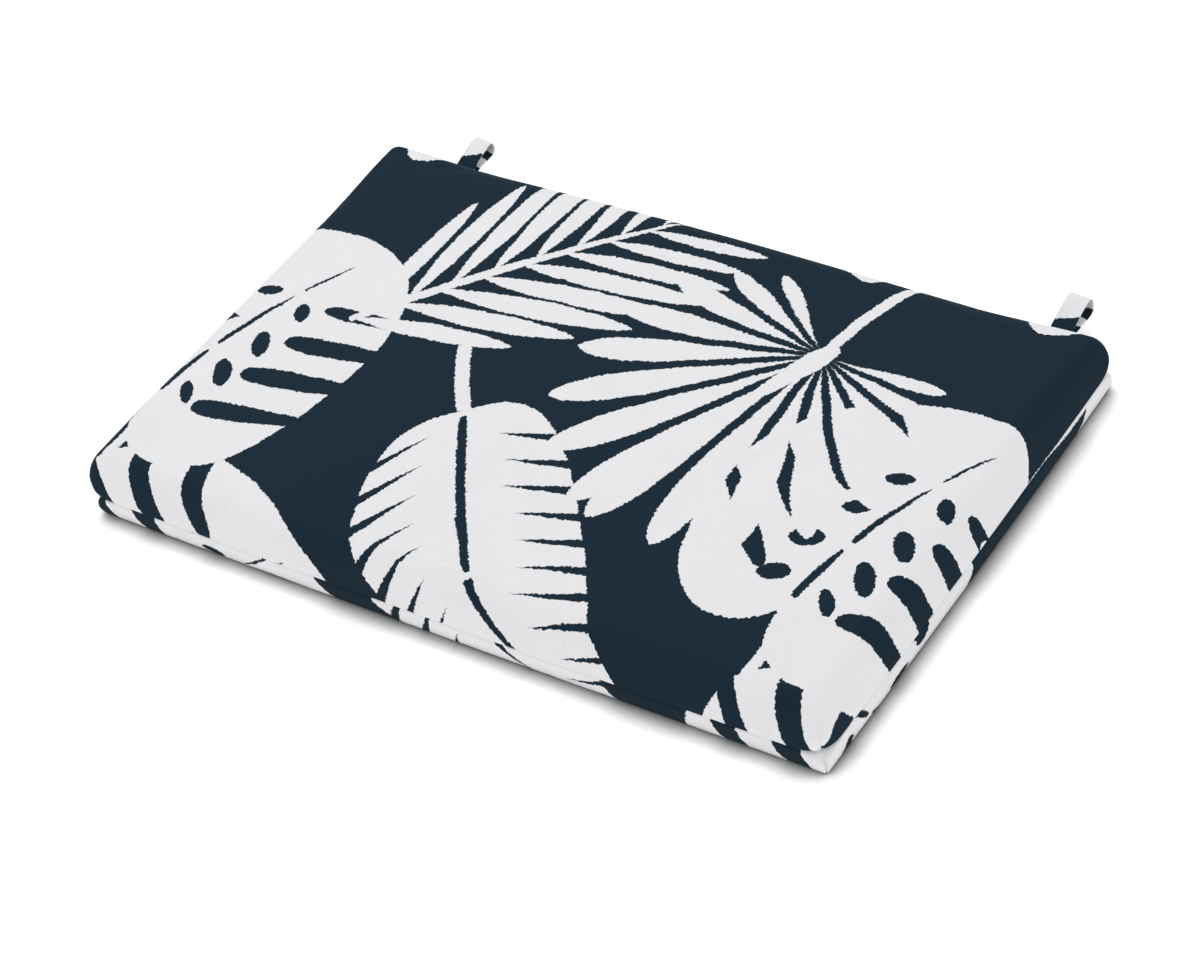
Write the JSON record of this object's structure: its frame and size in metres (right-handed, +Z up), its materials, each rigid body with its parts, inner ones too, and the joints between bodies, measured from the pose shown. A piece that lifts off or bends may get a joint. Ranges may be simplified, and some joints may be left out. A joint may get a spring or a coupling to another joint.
{
  "type": "lounge chair cushion",
  "caption": "Rectangular foam cushion for a lounge chair, with a soft rolled top edge, a plain side seam, boxed corners and fabric hanging loops on its back edge.",
  "frame": {"origin": "middle of the flat underside, on the surface the cushion lies on", "axes": "+X along the long edge, +Y towards the back edge with the loops, +Z up"},
  "size_m": [0.6398, 0.4556, 0.0608],
  "materials": {
    "printed_canvas": "matt outdoor canvas with a fine plain weave, printed with large off-white leaves on dark navy",
    "printed_strip": "the same printed canvas, folded into a flat strip"
  },
  "bodies": {
    "root": {"cushion": "printed_canvas", "loop_left": "printed_strip", "loop_right": "printed_strip"}
  },
  "joints": []
}
